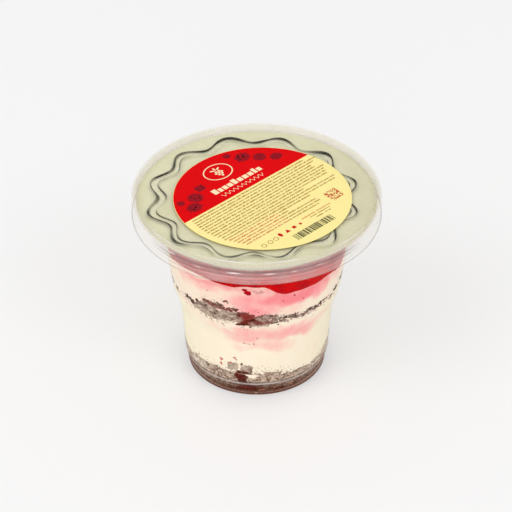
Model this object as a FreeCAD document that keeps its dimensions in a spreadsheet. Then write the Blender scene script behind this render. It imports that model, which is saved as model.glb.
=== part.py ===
"""Dessert cup of layered raspberry cheesecake under a clear lid, as a parametric document.

The cup stands on its foot ring at z = 0, with its axis on Z. The cup and the lid are thin formed
plastic. The food fills the cup in six layers, up to the pale cream in the wide collar. Where
pieces meet, both take their place from the same cell of the sheet and a named clearance.
"""
import FreeCAD, Part

import math
import os

import Sketcher
from FreeCAD import Vector

# --------------------------------------------------------------------------- driving dimensions

SIZES = [
    ("wall", 0.5, "thickness of the cup's wall"),
    ("fit_gap", 0.1, "clearance between the food and the cup"),
    ("layer_gap", 0.15, "clearance between two layers of the food"),
    ("foot_radius", 29.6, "outer edge of the ring that the cup stands on"),
    ("foot_width", 2.2, "width of the ring that the cup stands on"),
    ("foot_recess", 1.2, "height of the raised middle of the underside"),
    ("foot_round", 0.8, "rounding of the outer edge of the foot"),
    ("step_height", 6.9, "height of the stacking step"),
    ("step_radius", 30.5, "radius just under the stacking step"),
    ("step_ledge", 0.6, "how far the wall stands out over the stacking step"),
    ("lower_radius", 32.9, "radius at the top of the lower wall"),
    ("lower_top", 31.0, "height where the lower wall ends"),
    ("upper_radius", 35.9, "radius at the bottom of the upper wall"),
    ("upper_bottom", 40.5, "height where the upper wall starts"),
    ("shoulder_round", 12.0, "rounding of the shoulder between the two walls"),
    ("girth_radius", 38.2, "radius where the upper wall turns nearly upright"),
    ("girth_height", 55.0, "height where the upper wall turns nearly upright"),
    ("girth_round", 18.0, "rounding of that turn"),
    ("neck_radius", 38.9, "radius at the top of the upper wall"),
    ("neck_top", 74.8, "height where the collar starts to flare"),
    ("neck_round", 1.6, "rounding between the upper wall and the collar"),
    ("rim_radius", 51.1, "inner radius of the upright rim round the collar"),
    ("rim_base", 82.7, "height where the collar turns up into the rim"),
    ("rim_height", 2.9, "height of the upright rim"),
    ("rim_play", 0.3, "clearance between the rim and the lid's skirt"),
    ("lid_sheet", 0.4, "thickness of the lid"),
    ("crown_width", 1.9, "width of the raised crown that takes the rim"),
    ("crown_lean", 0.2, "how far the inside of the crown leans outwards"),
    ("crown_depth", 2.6, "height of the crown over the lid's panel"),
    ("crown_round", 0.65, "rounding of the crown's outer edge"),
    ("skirt_depth", 9.5, "depth of the skirt from the crown down to its lip"),
    ("lip_width", 0.3, "how far the lip stands out from the skirt"),
    ("lip_height", 0.7, "height of the lip"),
    ("scallop_radius", 41.6, "mean radius of the scalloped groove"),
    ("scallop_wave", 2.6, "how far the groove's lobes swing out and in"),
    ("scallop_lobes", 12, "number of lobes"),
    ("scallop_width", 2.2, "outer width of the groove with its two walls"),
    ("scallop_depth", 0.5, "depth of the groove"),
    ("scallop_x", -2.1, "x of the groove's centre"),
    ("scallop_y", 0.0, "y of the groove's centre"),
    ("label_radius", 37.5, "radius of the round label"),
    ("label_sheet", 0.2, "thickness of the label"),
    ("label_x", 2.4, "x of the label's centre"),
    ("label_y", -1.2, "y of the label's centre"),
    ("cream_headroom", 0.2, "air between the top cream and the groove over it"),
    ("base_crumb_top", 14.2, "mean height of the top of the base crumb"),
    ("middle_crumb_bottom", 44.2, "mean height of the underside of the middle crumb"),
    ("middle_crumb_top", 46.6, "mean height of the top of the middle crumb"),
    ("jam_bottom", 63.2, "mean height of the underside of the jam"),
    ("jam_top", 72.3, "mean height of the top of the jam"),
]
ALIASES = {alias for alias, _, _ in SIZES}

os.makedirs("parts", exist_ok=True)
doc = FreeCAD.newDocument("DessertCup")
sheet = doc.addObject("Spreadsheet::Sheet", "Sizes")
for row, (alias, number, meaning) in enumerate(SIZES, start=1):
    sheet.set(f"A{row}", alias)
    sheet.set(f"B{row}", str(number))
    sheet.set(f"C{row}", meaning)
    sheet.setAlias(f"B{row}", alias)
doc.recompute()


def bound(expression):
    """The expression with each alias written as a cell of the sheet."""
    words = expression.replace("(", " ( ").replace(")", " ) ").split()
    return " ".join(f"Sizes.{word}" if word in ALIASES else word for word in words)


def size(expression):
    """The number that an expression in the sheet's aliases comes to."""
    return float(sheet.evalExpression(bound(expression)))


# Heights and radii that several pieces share, as expressions in the sheet's aliases.
FLOOR = "foot_recess + wall"
RIM_TOP = "rim_base + rim_height"
LID_TOP = f"{RIM_TOP} + lid_sheet"
PANEL_TOP = f"{LID_TOP} - crown_depth"
SKIRT_RADIUS = "rim_radius + wall + rim_play + lid_sheet"
PANEL_RADIUS = f"{SKIRT_RADIUS} - crown_width - crown_lean"
LIP_BOTTOM = f"{LID_TOP} - skirt_depth - lip_height"
CREAM_TOP = f"{PANEL_TOP} - scallop_depth - lid_sheet - cream_headroom"


# --------------------------------------------------------------------------- turned pieces

def rounded_corner(before, here, after, radius):
    """Where a rounding of that radius starts, has its centre and ends, at a corner of two lines."""
    to_before = (before - here).normalize()
    to_after = (after - here).normalize()
    half = to_before.getAngle(to_after) / 2
    reach = radius / math.tan(half)
    centre = here + (to_before + to_after).normalize() * (radius / math.sin(half))
    return here + to_before * reach, centre, here + to_after * reach


def hold(sketch, point, radius, height):
    """Keep a point of the sketch at a radius and a height given as expressions."""
    for kind, axis, expression in (("DistanceX", -2, radius), ("DistanceY", -1, height)):
        if expression == "0":
            sketch.addConstraint(Sketcher.Constraint("PointOnObject", *point, axis))
            continue
        distance = Sketcher.Constraint(kind, -1, 1, *point, size(expression))
        index = sketch.addConstraint(distance)
        sketch.setExpression(f"Constraints[{index}]", bound(expression))


def round_off(sketch, before, after, place, ends, rounding):
    """Join two lines by an arc tangent to both, and return the corner point they both aim at."""
    start, centre, end = ends
    turns_left = (start - centre).cross(end - centre).z > 0
    first, last = (start, end) if turns_left else (end, start)
    angles = [math.atan2((p - centre).y, (p - centre).x) for p in (first, last)]
    if angles[1] < angles[0]:
        angles[1] += 2 * math.pi
    circle = Part.Circle(centre, Vector(0, 0, 1), size(rounding))
    arc = sketch.addGeometry(Part.ArcOfCircle(circle, *angles), False)
    corner = sketch.addGeometry(Part.Point(place), True)
    from_end, to_end = (1, 2) if turns_left else (2, 1)
    sketch.addConstraint(Sketcher.Constraint("Tangent", before, 2, arc, from_end))
    sketch.addConstraint(Sketcher.Constraint("Tangent", arc, to_end, after, 1))
    sketch.addConstraint(Sketcher.Constraint("PointOnObject", corner, 1, before))
    sketch.addConstraint(Sketcher.Constraint("PointOnObject", corner, 1, after))
    index = sketch.addConstraint(Sketcher.Constraint("Radius", arc, size(rounding)))
    sketch.setExpression(f"Constraints[{index}]", bound(rounding))
    return corner, 1


def outline(body, name, corners):
    """A closed sketch in the body's XZ plane through (radius, height, rounding) corners."""
    sketch = body.newObject("Sketcher::SketchObject", name)
    plane = [f for f in body.Origin.OriginFeatures if f.Role == "XZ_Plane"][0]
    sketch.AttachmentSupport = [(plane, "")]
    sketch.MapMode = "FlatFace"
    count = len(corners)
    places = [Vector(size(radius), size(height), 0) for radius, height, _ in corners]
    ends = []
    for i, (_, _, rounding) in enumerate(corners):
        here = places[i]
        if rounding:
            ends.append(rounded_corner(places[i - 1], here, places[(i + 1) % count], size(rounding)))
        else:
            ends.append((here, here, here))
    lines = []
    for i in range(count):
        line = Part.LineSegment(ends[i][2], ends[(i + 1) % count][0])
        lines.append(sketch.addGeometry(line, False))
    for i, (radius, height, rounding) in enumerate(corners):
        before, after = lines[i - 1], lines[i]
        if rounding:
            point = round_off(sketch, before, after, places[i], ends[i], rounding)
        else:
            sketch.addConstraint(Sketcher.Constraint("Coincident", before, 2, after, 1))
            point = (after, 1)
        hold(sketch, point, radius, height)
    return sketch


def turned(name, corners):
    """A body made by turning an outline once round Z."""
    body = doc.addObject("PartDesign::Body", name)
    sketch = outline(body, f"{name}_outline", corners)
    turn = body.newObject("PartDesign::Revolution", f"{name}_turn")
    turn.Profile = sketch
    turn.ReferenceAxis = (sketch, ["V_Axis"])
    turn.Angle = 360
    doc.recompute()
    return body


def inside_below_collar(gap):
    """The corners of the cup's inner surface from the neck to the floor, drawn in by a gap."""
    inset = f"(wall + {gap})"
    return [
        (f"neck_radius - {inset}", "neck_top", "neck_round + wall"),
        (f"girth_radius - {inset}", "girth_height", "girth_round - wall"),
        (f"upper_radius - {inset}", "upper_bottom", "shoulder_round - wall"),
        (f"lower_radius - {inset}", "lower_top", "shoulder_round"),
        (f"step_radius + step_ledge - {inset}", "step_height + 2 * wall", None),
        (f"step_radius - {inset}", "step_height + wall", None),
        (f"foot_radius - {inset}", f"{FLOOR} + {gap}", "foot_round"),
        ("0", f"{FLOOR} + {gap}", None),
    ]


def make_cup():
    """The clear cup: foot ring, stacking step, shoulder, neck, flared collar and upright rim."""
    outside = [
        ("0", "foot_recess", None),
        ("foot_radius - foot_width - foot_recess", "foot_recess", None),
        ("foot_radius - foot_width", "0", None),
        ("foot_radius", "0", "foot_round"),
        ("step_radius", "step_height", None),
        ("step_radius + step_ledge", "step_height + wall", None),
        ("lower_radius", "lower_top", "shoulder_round - wall"),
        ("upper_radius", "upper_bottom", "shoulder_round"),
        ("girth_radius", "girth_height", "girth_round"),
        ("neck_radius", "neck_top - wall", "neck_round"),
        ("rim_radius + wall", "rim_base - wall", None),
        ("rim_radius + wall", RIM_TOP, None),
        ("rim_radius", RIM_TOP, None),
        ("rim_radius", "rim_base", None),
    ]
    return turned("cup", outside + inside_below_collar("0"))


def make_lid_shell():
    """The clear lid without its groove: flat panel, raised crown, skirt and lip."""
    corners = [
        ("0", PANEL_TOP, None),
        (PANEL_RADIUS, PANEL_TOP, None),
        (f"{PANEL_RADIUS} + crown_lean", LID_TOP, None),
        (SKIRT_RADIUS, LID_TOP, "crown_round"),
        (SKIRT_RADIUS, f"{LIP_BOTTOM} + lip_height", None),
        (f"{SKIRT_RADIUS} + lip_width", f"{LIP_BOTTOM} + lip_height - lip_width", None),
        (f"{SKIRT_RADIUS} + lip_width", LIP_BOTTOM, None),
        (f"{SKIRT_RADIUS} - lid_sheet", LIP_BOTTOM, None),
        (f"{SKIRT_RADIUS} - lid_sheet", RIM_TOP, "crown_round - lid_sheet"),
        (f"{PANEL_RADIUS} + crown_lean + lid_sheet", RIM_TOP, None),
        (f"{PANEL_RADIUS} + lid_sheet", f"{PANEL_TOP} - lid_sheet", None),
        ("0", f"{PANEL_TOP} - lid_sheet", None),
    ]
    return turned("lid_shell", corners)


# --------------------------------------------------------------------------- the lid's groove

def scallop_wire(radial_offset):
    """A closed smooth curve of radius mean + wave * cos(lobes * angle), with a lobe each side of +Y.

    The angle starts half a lobe past +X, so that the curve has a valley on each axis.
    """
    lobes = int(size("scallop_lobes"))
    steps = 8 * lobes
    centre = Vector(size("scallop_x"), size("scallop_y"), 0)
    points = []
    for i in range(steps):
        turn = 2 * math.pi * i / steps
        radius = size("scallop_radius") - size("scallop_wave") * math.cos(lobes * turn)
        radius += radial_offset
        points.append(centre + Vector(radius * math.cos(turn), radius * math.sin(turn), 0))
    curve = Part.BSplineCurve()
    curve.interpolate(points, PeriodicFlag=True)
    return Part.Wire(curve.toShape())


def scallop_ring(name, half_width, bottom, top):
    """The solid between two scalloped curves, from one height up to another."""
    outer = Part.Face(scallop_wire(half_width))
    inner = Part.Face(scallop_wire(-half_width))
    ring = outer.cut(inner)
    ring.translate(Vector(0, 0, bottom))
    feature = doc.addObject("Part::Feature", name)
    feature.Shape = ring.extrude(Vector(0, 0, top - bottom))
    feature.Placement = FreeCAD.Placement()
    return feature


def joined(kind, name, base, tool):
    """A Part boolean of two objects of the document."""
    feature = doc.addObject(kind, name)
    feature.Base = base
    feature.Tool = tool
    return feature


def make_lid():
    """The shell with a scalloped groove pressed down into its panel."""
    half = size("scallop_width / 2")
    top = size(PANEL_TOP)
    floor = top - size("scallop_depth")
    sheet_thickness = size("lid_sheet")
    under = scallop_ring("scallop_wall", half, floor - sheet_thickness, top - sheet_thickness / 2)
    hollow = scallop_ring("scallop_hollow", half - sheet_thickness, floor, top + sheet_thickness)
    shell = make_lid_shell()
    thick = joined("Part::Fuse", "lid_with_wall", shell, under)
    return joined("Part::Cut", "lid", thick, hollow)


def make_label():
    """The round label, stuck on the panel a little off the middle."""
    label = doc.addObject("Part::Cylinder", "label")
    label.setExpression("Radius", bound("label_radius"))
    label.setExpression("Height", bound("label_sheet"))
    label.setExpression("Placement.Base.x", bound("label_x"))
    label.setExpression("Placement.Base.y", bound("label_y"))
    label.setExpression("Placement.Base.z", bound(PANEL_TOP))
    return label


# --------------------------------------------------------------------------- the food

# Each boundary between two layers is level but uneven. A lump is (direction in degrees from +X,
# how far it lies from the axis as a share of the neck's radius, its width, its height), in mm.
BOUNDARIES = {
    "base_crumb_top": (0.45, [(310, 0.80, 7.0, -4.6), (283, 0.80, 6.0, 1.3), (338, 0.80, 8.0, 1.8),
                              (120, 0.70, 9.0, -1.5), (40, 0.75, 8.0, 1.6)]),
    "middle_crumb_bottom": (0.35, [(224, 0.92, 10.0, -3.2), (263, 0.92, 7.0, -1.9),
                                   (80, 0.85, 11.0, -1.6)]),
    "middle_crumb_top": (0.35, [(238, 0.92, 8.0, 4.9), (263, 0.92, 8.0, 2.2), (292, 0.92, 7.0, 1.6),
                                (110, 0.85, 10.0, 2.0), (20, 0.90, 9.0, 0.9)]),
    "jam_bottom": (0.40, [(318, 0.95, 19.0, -5.6), (345, 0.95, 12.0, -1.6),
                          (150, 0.85, 12.0, -3.0)]),
    "jam_top": (0.30, []),
}
RIPPLE_LENGTH = 17.0
SHEET_STEPS = 16


def boundary_height(x, y, level, ripple, lumps):
    """Level, plus a crossed ripple, plus a bell-shaped hump for each lump."""
    height = level + ripple * math.sin(2 * math.pi * x / RIPPLE_LENGTH + level)
    height += ripple * math.cos(2 * math.pi * y / RIPPLE_LENGTH - 0.6 * x / RIPPLE_LENGTH)
    reach = size("neck_radius")
    for direction, share, width, rise in lumps:
        away = reach * share
        dx = x - away * math.cos(math.radians(direction))
        dy = y - away * math.sin(math.radians(direction))
        height += rise * math.exp(-(dx * dx + dy * dy) / (width * width))
    return height


def all_below(name, lift):
    """Everything under one boundary, as a deep block whose top is a smooth uneven surface."""
    ripple, lumps = BOUNDARIES[name]
    level = size(name) + lift
    reach = size("neck_radius") * 1.25
    rows = []
    for i in range(SHEET_STEPS + 1):
        x = reach * (2 * i / SHEET_STEPS - 1)
        row_points = []
        for j in range(SHEET_STEPS + 1):
            y = reach * (2 * j / SHEET_STEPS - 1)
            row_points.append(Vector(x, y, boundary_height(x, y, level, ripple, lumps)))
        rows.append(row_points)
    surface = Part.BSplineSurface()
    surface.interpolate(rows)
    block = surface.toShape().extrude(Vector(0, 0, -2 * size(RIM_TOP)))
    feature = doc.addObject("Part::Feature", f"under_{name}" if lift == 0 else f"over_{name}")
    feature.Shape = block
    feature.Placement = FreeCAD.Placement()
    return feature


def make_food():
    """The six layers: the space inside the cup, cut apart along the five boundaries."""
    flare = "(rim_radius - neck_radius + wall) / (rim_base - neck_top)"
    cream_radius = f"rim_radius - fit_gap - (rim_base - ({CREAM_TOP})) * {flare}"
    top = [("0", CREAM_TOP, None), (cream_radius, CREAM_TOP, None)]
    food = turned("food", top + inside_below_collar("fit_gap"))
    layers = []
    above = food
    names = ["base_crumb", "lower_cream", "middle_crumb", "upper_cream", "jam"]
    for name, boundary in zip(names, BOUNDARIES):
        layers.append(joined("Part::Common", name, above, all_below(boundary, 0)))
        lifted = all_below(boundary, size("layer_gap"))
        above_name = "top_cream" if name == names[-1] else f"food_above_{name}"
        above = joined("Part::Cut", above_name, food, lifted)
    layers.append(above)
    return layers


# --------------------------------------------------------------------------- build and write

def check(pieces):
    """Stop unless every object was computed and every piece is one valid solid."""
    for obj in doc.Objects:
        if "Invalid" in obj.State or "Error" in obj.State:
            raise RuntimeError(f"{obj.Name} failed: {obj.State}")
    for piece in pieces:
        shape = piece.Shape
        if shape.isNull() or not shape.isValid() or len(shape.Solids) != 1:
            raise RuntimeError(f"{piece.Label} is not one valid solid")


def main():
    pieces = [make_cup(), make_lid(), make_label(), *make_food()]
    doc.recompute()
    check(pieces)
    for piece in pieces:
        piece.Shape.exportStep(f"parts/{piece.Label}.step")
        box = piece.Shape.BoundBox
        print(f"{piece.Label}: {box.XLength:.1f} x {box.YLength:.1f} x {box.ZLength:.1f} mm,"
              f" z {box.ZMin:.2f} to {box.ZMax:.2f}, {piece.Shape.Volume / 1000:.1f} ml")


main()
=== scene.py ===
"""Looks of a lidded dessert cup filled with layered raspberry cheesecake.

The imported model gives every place. The script works in millimetres and hands its meshes over in
metres. Angles round the cup are in degrees from the front, -Y, and grow towards the right, +X.
A colour is the three numbers from 0 to 255 that it shows as.
"""
import math

import bpy
import numpy as np
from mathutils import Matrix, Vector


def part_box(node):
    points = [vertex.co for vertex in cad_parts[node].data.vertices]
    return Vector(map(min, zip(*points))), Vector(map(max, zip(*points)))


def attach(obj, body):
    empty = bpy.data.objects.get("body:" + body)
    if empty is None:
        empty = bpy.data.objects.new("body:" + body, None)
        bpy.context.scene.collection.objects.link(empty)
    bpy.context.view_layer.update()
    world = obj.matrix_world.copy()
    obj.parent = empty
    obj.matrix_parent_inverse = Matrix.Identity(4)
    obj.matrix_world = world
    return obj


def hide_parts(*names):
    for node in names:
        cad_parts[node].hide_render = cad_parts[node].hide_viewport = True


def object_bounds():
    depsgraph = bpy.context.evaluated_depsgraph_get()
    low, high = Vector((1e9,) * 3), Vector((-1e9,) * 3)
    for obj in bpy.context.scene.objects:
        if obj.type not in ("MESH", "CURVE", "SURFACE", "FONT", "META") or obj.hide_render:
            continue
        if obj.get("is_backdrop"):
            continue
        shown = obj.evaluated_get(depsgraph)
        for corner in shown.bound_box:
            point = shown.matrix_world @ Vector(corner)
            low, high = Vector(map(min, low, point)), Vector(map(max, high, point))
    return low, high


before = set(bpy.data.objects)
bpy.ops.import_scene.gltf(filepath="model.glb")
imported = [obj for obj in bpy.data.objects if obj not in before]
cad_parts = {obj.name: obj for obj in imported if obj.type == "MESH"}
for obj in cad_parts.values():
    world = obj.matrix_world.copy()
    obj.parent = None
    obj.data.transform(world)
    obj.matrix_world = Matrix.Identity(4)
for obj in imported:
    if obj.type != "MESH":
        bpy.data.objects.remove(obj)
cad_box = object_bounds()
scene = bpy.context.scene

MM = 0.001


def box_mm(node):
    """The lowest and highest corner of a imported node, in millimetres."""
    low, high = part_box(node)
    return np.array(low) / MM, np.array(high) / MM


# ---- sizes, in millimetres

AROUND = 384                     # points in each ring of the turned pieces
WALL = 0.5                       # the cup's plastic
SHEET = 0.4                      # the lid's plastic
INTO_WALL = 0.12                 # how far the food reaches into the wall, so that no gap shows
NECK, GIRTH, NEAR_FOOT = 38, 36, 33    # round figures for the radius of the inside
RIM_RADIUS, _, RIM_TOP = box_mm("cup")[1]
LIP_BOTTOM = box_mm("lid")[0][2]
LIP_RADIUS, _, LID_TOP = box_mm("lid")[1]
LABEL_LOW, LABEL_HIGH = box_mm("label")
PANEL_TOP = LABEL_LOW[2]
LABEL_CENTRE = (LABEL_LOW + LABEL_HIGH) / 2
LABEL_RADIUS = (LABEL_HIGH[0] - LABEL_LOW[0]) / 2
CREAM_TOP = box_mm("top_cream")[1][2]

# The cup's outside, from the middle of its underside up to the rim: radius, height, rounding.
# The corners without a rounding beside the foot's step give its painted highlight line its points.
CUP_OUTSIDE = [
    (0, 1.2, 0), (26.2, 1.2, 0.5), (27.4, 0, 0.4), (29.6, 0, 0.8), (30.37, 5.9, 0), (30.43, 6.35, 0),
    (30.5, 6.9, 0.3), (31.1, 7.4, 0.3), (31.15, 8, 0), (32.9, 31, 11.5), (35.9, 40.5, 12), (38.2, 55, 18),
    (38.9, 74.3, 1.6), (RIM_RADIUS, 82.2, 0.7), (RIM_RADIUS, RIM_TOP, 0.2),
]
# The cup's inside, from the rim down to the middle of its floor.
CUP_INSIDE = [
    (RIM_RADIUS - WALL, RIM_TOP, 0.2), (RIM_RADIUS - WALL, 82.7, 0.4), (38.4, 74.8, 2.1),
    (37.7, 55, 17.5), (35.4, 40.5, 11.5), (32.4, 31, 12), (30.6, 7.9, 0.3), (30, 7.4, 0.3),
    (29.1, 1.7, 0.8), (0, 1.7, 0),
]


# ---- shapes

def unit(line):
    return line / np.linalg.norm(line)


def rounded(corners, arc_steps=10):
    """Points along the lines between corners, with an arc of the given radius at each corner.

    A rounding r at a corner whose lines meet at half angle a starts r / tan(a) before the corner,
    and its centre lies r / sin(a) from the corner on the line that halves it.
    """
    points = [np.array(corners[0][:2])]
    for before, here, after in zip(corners[:-2], corners[1:-1], corners[2:]):
        corner = np.array(here[:2])
        back, ahead = unit(before[:2] - corner), unit(after[:2] - corner)
        half = math.acos(np.clip(back @ ahead, -1, 1)) / 2
        if here[2] == 0 or half > math.radians(89.5):
            points.append(corner)
            continue
        centre = corner + unit(back + ahead) * here[2] / math.sin(half)
        start = corner + back * here[2] / math.tan(half) - centre
        end = corner + ahead * here[2] / math.tan(half) - centre
        sweep = math.pi - 2 * half
        share = np.linspace(0, 1, arc_steps + 1)[:, None]
        arc = np.sin((1 - share) * sweep) * start + np.sin(share * sweep) * end
        points.extend(centre + arc / math.sin(sweep))
    points.append(np.array(corners[-1][:2]))
    return np.array(points)


def spaced(profile, step):
    """The same line with points added, so that none lie further apart than step."""
    pieces = [profile[:1]]
    for start, end in zip(profile[:-1], profile[1:]):
        parts = max(1, math.ceil(np.linalg.norm(end - start) / step))
        pieces.append(start + (end - start) * np.arange(1, parts + 1)[:, None] / parts)
    return np.vstack(pieces)


def turns(count=AROUND):
    """Even steps once round, in radians from +X."""
    return np.arange(count) * 2 * math.pi / count


def around(radius, angle, height, centre=(0, 0)):
    """Points at a radius and an angle about a centre, and at a height."""
    x, y = centre[0] + radius * np.cos(angle), centre[1] + radius * np.sin(angle)
    return np.stack(np.broadcast_arrays(x, y, height), -1)


def turned(profile):
    """Each point of a (radius, height) profile carried once round Z."""
    return around(profile[:, :1], turns(), profile[:, 1:])


def front_angle(points):
    """The angle of each point round the cup, in degrees from the front."""
    return (np.degrees(np.arctan2(points[..., 1], points[..., 0])) + 270) % 360 - 180


def angle_between(angle, other):
    """The smaller turn between two angles, in degrees, with its sign."""
    return (angle - other + 180) % 360 - 180


def quads(low, high, count):
    """Faces between rings of count points, from those that start at low to those at high."""
    here = np.arange(count)
    after = (here + 1) % count
    low, high = low[:, None], high[:, None]
    return np.stack([low + here, low + after, high + after, high + here], -1).reshape(-1, 4).tolist()


def skin(rings):
    """Points and faces over a stack of rings, the first and the last each shrunk to one point.

    Seen from outside, the stack runs upwards with its angle growing to the right.
    """
    count, sides, _ = rings.shape
    points = np.vstack([rings[1:-1].reshape(-1, 3), rings[0, :1], rings[-1, :1]])
    start = np.arange(count - 3) * sides
    here = np.arange(sides)
    after = (here + 1) % sides
    last, pole = (count - 3) * sides, (count - 2) * sides + 0 * here
    caps = np.vstack([np.stack([pole, after, here], -1),
                      np.stack([last + here, last + after, pole + 1], -1)])
    return points, quads(start, start + sides, sides) + caps.tolist()


def waves(points, length, seed):
    """Smooth noise near -1 to 1: twelve sine waves of about that length in random directions."""
    rng = np.random.default_rng(seed)
    directions = rng.normal(size=(12, 3))
    directions /= np.linalg.norm(directions, axis=1, keepdims=True)
    directions /= length * rng.uniform(0.6, 1.5, size=(12, 1))
    phases = rng.uniform(0, 2 * math.pi, 12)
    return np.sin(2 * math.pi * points @ directions.T + phases).sum(axis=-1) / 4


def bell(distance):
    """A soft hump: 1 at 0, near 0 past 2."""
    return np.exp(-distance ** 2)


def ramp(value, low, high):
    """0 below low, 1 above high and smooth between."""
    share = np.clip((value - low) / (high - low), 0, 1)
    return share * share * (3 - 2 * share)


def put_in_scene(name, data):
    """An object for a mesh, a lamp or a camera."""
    made = bpy.data.objects.new(name, data)
    scene.collection.objects.link(made)
    return made


def new_mesh(name, points, faces, material):
    """A mesh from points in millimetres."""
    mesh = bpy.data.meshes.new(name)
    mesh.from_pydata((np.asarray(points) * MM).tolist(), [], faces)
    mesh.materials.append(material)
    return mesh


def add_piece(name, points, faces, slot, material, smooth=True):
    """A mesh object with its place in its mesh, which rides on the part's one body."""
    mesh = new_mesh(name, points, faces, material)
    mesh.polygons.foreach_set("use_smooth", np.full(len(mesh.polygons), smooth))
    mesh.update()
    piece = put_in_scene(name, mesh)
    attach(piece, "root")
    return piece


def paint(piece, **masks):
    """Numbers on a piece's points, for its material to read."""
    for name, values in masks.items():
        layer = piece.data.attributes.new(name, "FLOAT", "POINT")
        spread = np.broadcast_to(np.ravel(values), len(layer.data))
        layer.data.foreach_set("value", spread.astype(np.float32))


def add_rings(name, rings, slot, material, **masks):
    """A closed piece over rings, with its masks given ring by ring or as functions."""
    piece = add_piece(name, *skin(rings), slot, material)
    for mask, field in masks.items():
        field = np.broadcast_to(field(rings) if callable(field) else field, rings.shape[:2])
        in_order = np.concatenate([field[1:-1].ravel(), field[0, :1], field[-1, :1]])
        paint(piece, **{mask: in_order})
    return piece


# ---- materials

def linear(red, green, blue):
    """A colour as light."""
    seen = np.array([red, green, blue]) / 255
    light = np.where(seen <= 0.04045, seen / 12.92, ((seen + 0.055) / 1.055) ** 2.4)
    return (*light.tolist(), 1.0)


class Nodes:
    """A node tree and the few moves that it is made with."""

    def __init__(self, tree):
        self.tree = tree

    def give(self, sockets, *values):
        """Give each input its number, its colour or a link."""
        for socket, value in zip(sockets, values):
            if isinstance(value, bpy.types.NodeSocket):
                self.tree.links.new(value, socket)
            else:
                socket.default_value = linear(*value) if isinstance(value, tuple) else value

    def set(self, node, **inputs):
        self.give([node.inputs[name.replace("_", " ")] for name in inputs], *inputs.values())
        return node

    def add(self, kind, **inputs):
        return self.set(self.tree.nodes.new("ShaderNode" + kind), **inputs)

    def mix(self, factor, first, second):
        """A colour between two colours."""
        node = self.add("Mix")
        node.data_type = "RGBA"
        self.give(node.inputs[:1] + node.inputs[6:], factor, first, second)
        return node.outputs[2]

    def sum(self, operation, *values):
        """One Math node on numbers or sockets."""
        node = self.add("Math")
        node.operation = operation
        self.give(node.inputs, *values)
        return node.outputs[0]

    def join(self, factor, first, second):
        """A mix of two shaders."""
        node = self.add("MixShader")
        self.give(node.inputs, factor, first.outputs[0], second.outputs[0])
        return node


class Shade(Nodes):
    """One material, its shader and its place on Object coordinates."""

    def __init__(self, name, **plain):
        self.material = bpy.data.materials.new(name)
        self.material.use_nodes = True
        super().__init__(self.material.node_tree)
        self.shader = self.set(self.tree.nodes["Principled BSDF"], **plain)
        self.place = self.add("TexCoord").outputs["Object"]

    def mask(self, name):
        """A number painted on the piece's points."""
        node = self.add("Attribute")
        node.attribute_name = name
        return node.outputs["Fac"]

    def noise(self, size, detail, roughness=0.5):
        """Noise from 0 to 1 whose features are about size millimetres across."""
        return self.add("TexNoise", Vector=self.place, Scale=1 / (size * MM), Detail=detail,
                        Roughness=roughness).outputs["Fac"]

    def blurred(self, name, size, detail, amount):
        """A painted number with noise of half the amount up and down."""
        noise = self.sum("MULTIPLY_ADD", self.noise(size, detail, 0.6), amount, -amount / 2)
        return self.sum("ADD", self.mask(name), noise)

    def between(self, value, low, high, kind="SMOOTHSTEP"):
        """0 where value is below low, 1 above high."""
        node = self.add("MapRange", Value=value, From_Min=low, From_Max=high)
        node.interpolation_type = kind
        return node.outputs[0]

    def grain(self, coarse, fine, contrast):
        """The shared grain's mask and height, with features of coarse and fine millimetres."""
        node = self.tree.nodes.new("ShaderNodeGroup")
        node.node_tree = GRAIN
        self.set(node, Coarse=1 / (coarse * MM), Fine=1 / (fine * MM), Contrast=contrast,
                 Vector=self.place)
        return node.outputs["Mask"], node.outputs["Height"]

    def coloured(self, colour, height, depth, strength):
        """The material with its colour, and relief of that depth in millimetres."""
        relief = self.add("Bump", Strength=strength, Distance=depth * MM, Height=height)
        self.set(self.shader, Base_Color=colour, Normal=relief.outputs["Normal"])
        return self.material

    def surfaced(self, shader):
        """The material with a shader of its own on its surface."""
        self.set(self.tree.nodes["Material Output"], Surface=shader.outputs[0])
        return self.material


def speckle_group():
    """Grain shared by the food and the print: a coarse and a fine noise give a mask and a height."""
    group = bpy.data.node_groups.new("food_grain", "ShaderNodeTree")
    for name, way, kind in (("Coarse", "INPUT", "Float"), ("Fine", "INPUT", "Float"),
                            ("Contrast", "INPUT", "Float"), ("Vector", "INPUT", "Vector"),
                            ("Mask", "OUTPUT", "Float"), ("Height", "OUTPUT", "Float")):
        group.interface.new_socket(name, in_out=way, socket_type="NodeSocket" + kind)
    moves = Nodes(group)
    given = group.nodes.new("NodeGroupInput").outputs
    noises = [moves.add("TexNoise", Vector=given["Vector"], Scale=given[name], Detail=detail)
              for name, detail in (("Coarse", 4), ("Fine", 2))]
    both = moves.sum("ADD", *(noise.outputs["Fac"] for noise in noises))
    spread = moves.sum("MULTIPLY_ADD", moves.sum("SUBTRACT", both, 1), given["Contrast"], 0.5)
    spread.node.use_clamp = True
    moves.give(group.nodes.new("NodeGroupOutput").inputs, spread, both)
    return group


GRAIN = speckle_group()


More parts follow.
